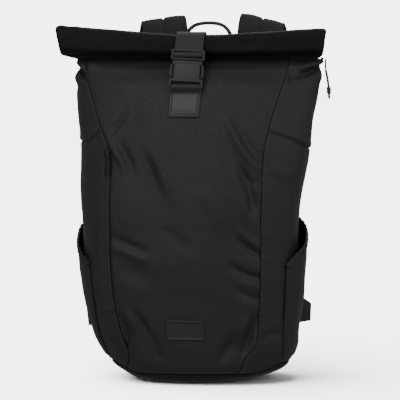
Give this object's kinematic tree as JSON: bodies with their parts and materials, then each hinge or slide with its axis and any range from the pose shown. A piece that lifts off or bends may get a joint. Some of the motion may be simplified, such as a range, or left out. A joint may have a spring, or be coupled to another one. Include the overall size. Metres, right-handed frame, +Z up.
{
  "type": "rolltop backpack",
  "caption": "Soft rolltop daypack with a rolled collar, webbing closure strap and side-release buckle, open side pockets, a side zip and padded shoulder straps.",
  "frame": {"origin": "on the floor under the middle of the standing bag's bounding box, without the hanging cord", "axes": "+Z up, the bag's front with its buckle towards -Y, the wearer's back side towards +Y"},
  "size_m": [0.3743, 0.183, 0.489],
  "materials": {
    "coated_cloth": "coated nylon, faint sheen",
    "base_cloth": "heavier coated nylon",
    "pad_cloth": "matt spacer mesh over foam",
    "webbing": "woven polyester webbing",
    "buckle_plastic": "satin moulded plastic",
    "patch_leather": "grained, stitched round the edge",
    "label_rubber": "matt, unmarked",
    "zip_tape": "coated zip tape",
    "zip_metal": "dark enamelled",
    "cord": "braided"
  },
  "bodies": {
    "root": {"front_panel": "coated_cloth", "side_panel_left": "coated_cloth", "side_panel_right": "coated_cloth", "back_panel": "pad_cloth", "base_panel": "base_cloth", "roll_collar": "coated_cloth", "side_pocket_left": "coated_cloth", "side_pocket_right": "coated_cloth", "front_label": "label_rubber", "buckle_housing": "buckle_plastic", "buckle_ladder_lock": "buckle_plastic", "closure_strap": "webbing", "closure_patch": "patch_leather", "front_zip": "zip_tape", "zip_slider": "zip_metal", "zip_pull": "label_rubber", "haul_loop": "webbing", "shoulder_strap_left": "pad_cloth", "shoulder_strap_right": "pad_cloth", "strap_wing_left": "coated_cloth", "strap_wing_right": "coated_cloth", "strap_adjuster_left": "buckle_plastic", "strap_adjuster_right": "buckle_plastic", "strap_webbing_left": "webbing", "strap_webbing_right": "webbing", "cord_tab": "coated_cloth", "puller_cord": "cord", "puller_bead": "label_rubber"}
  },
  "joints": []
}
